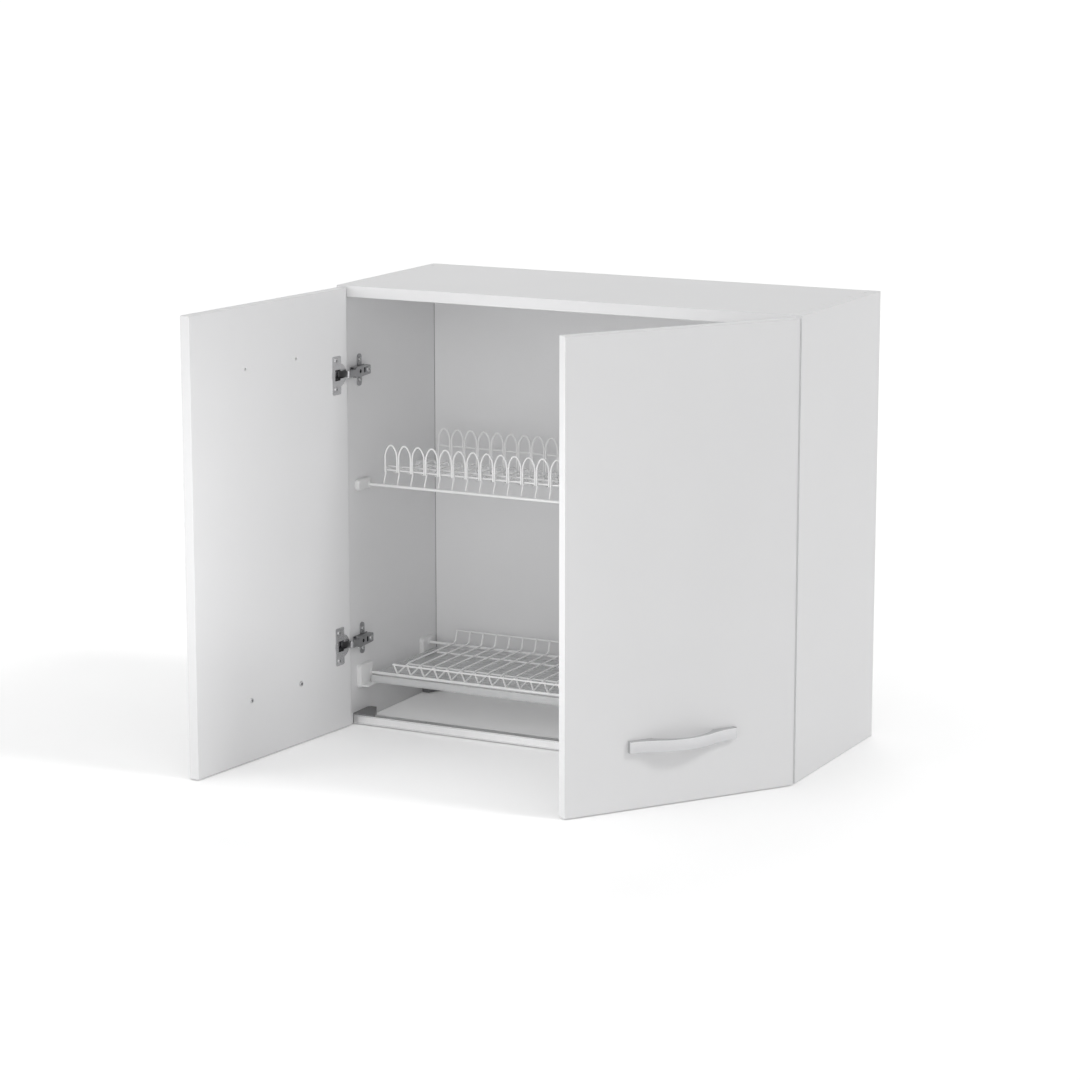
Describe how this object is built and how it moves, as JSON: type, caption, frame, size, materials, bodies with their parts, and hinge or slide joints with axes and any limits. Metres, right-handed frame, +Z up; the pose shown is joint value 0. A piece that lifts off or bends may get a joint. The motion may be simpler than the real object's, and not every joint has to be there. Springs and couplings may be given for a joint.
{
  "type": "dish drying wall cabinet",
  "caption": "Wall cabinet for drying dishes: swinging doors on cup hinges, a plate rack over a glass rack, a sliding drip tray and an open bottom frame.",
  "frame": {"origin": "on the wall plane, midway between the two wall screw holes of the hangers", "axes": "+X to the right seen from the front, +Y out of the back of the cabinet into the wall, +Z up"},
  "size_m": [0.8469, 0.7191, 0.72],
  "materials": {
    "board": "white melamine-faced chipboard, satin",
    "back_board": "thin white lacquered hardboard",
    "dowel": "bare beech",
    "rail": "satin anodised",
    "dark_plastic": "dark grey moulded plastic",
    "screw": "zinc plated",
    "zinc": "zinc plated sheet",
    "hinge_steel": "nickel plated pressed steel",
    "coated_wire": "white plastic-coated steel wire",
    "white_plastic": "white moulded plastic",
    "tray_plastic": "translucent pale plastic",
    "handle_chrome": "polished chrome plate"
  },
  "bodies": {
    "carcass": {"side_panel_left": "board", "side_panel_right": "board", "top_panel": "board", "back_panel": "back_board", "top_dowels": "dowel", "front_rail": "rail", "rear_rail": "rail", "corner_brackets": "dark_plastic", "bracket_screws": "screw", "wall_hangers": "zinc", "hanger_screws": "screw", "hinge_arms": "hinge_steel", "hinge_mounting_plates": "hinge_steel", "hinge_plate_screws": "screw", "hinge_arm_screws": "screw", "plate_rack_frame": "coated_wire", "plate_rack_front_arches": "coated_wire", "plate_rack_rear_arches": "coated_wire", "plate_rack_cradles": "coated_wire", "plate_rack_clips": "white_plastic", "glass_rack_frame": "coated_wire", "glass_rack_bed_wires": "coated_wire", "glass_rack_clips": "white_plastic"},
    "left_door": {"left_door_panel": "board", "left_hinge_cups": "hinge_steel", "left_hinge_cup_inserts": "dark_plastic", "left_hinge_pins": "screw", "left_hinge_cup_screws": "screw", "left_handle": "handle_chrome", "left_handle_screws": "screw"},
    "right_door": {"right_door_panel": "board", "right_hinge_cups": "hinge_steel", "right_hinge_cup_inserts": "dark_plastic", "right_hinge_pins": "screw", "right_hinge_cup_screws": "screw", "right_handle": "handle_chrome", "right_handle_screws": "screw"},
    "tray": {"drip_tray_floor": "tray_plastic", "drip_tray_walls": "tray_plastic"}
  },
  "joints": [
    {"name": "left_door_hinge", "type": "hinge", "parent": "carcass", "child": "left_door", "pos_m": [-0.389, -0.3333, 0], "axis": [0, 0, -1], "range_deg": [-96, 6]},
    {"name": "right_door_hinge", "type": "hinge", "parent": "carcass", "child": "right_door", "pos_m": [0.389, -0.3333, 0], "axis": [0, 0, 1], "range_deg": [-55, 47]},
    {"name": "tray_slide", "type": "slide", "parent": "carcass", "child": "tray", "axis": [0, -1, 0], "range_m": [0, 0.045]}
  ]
}
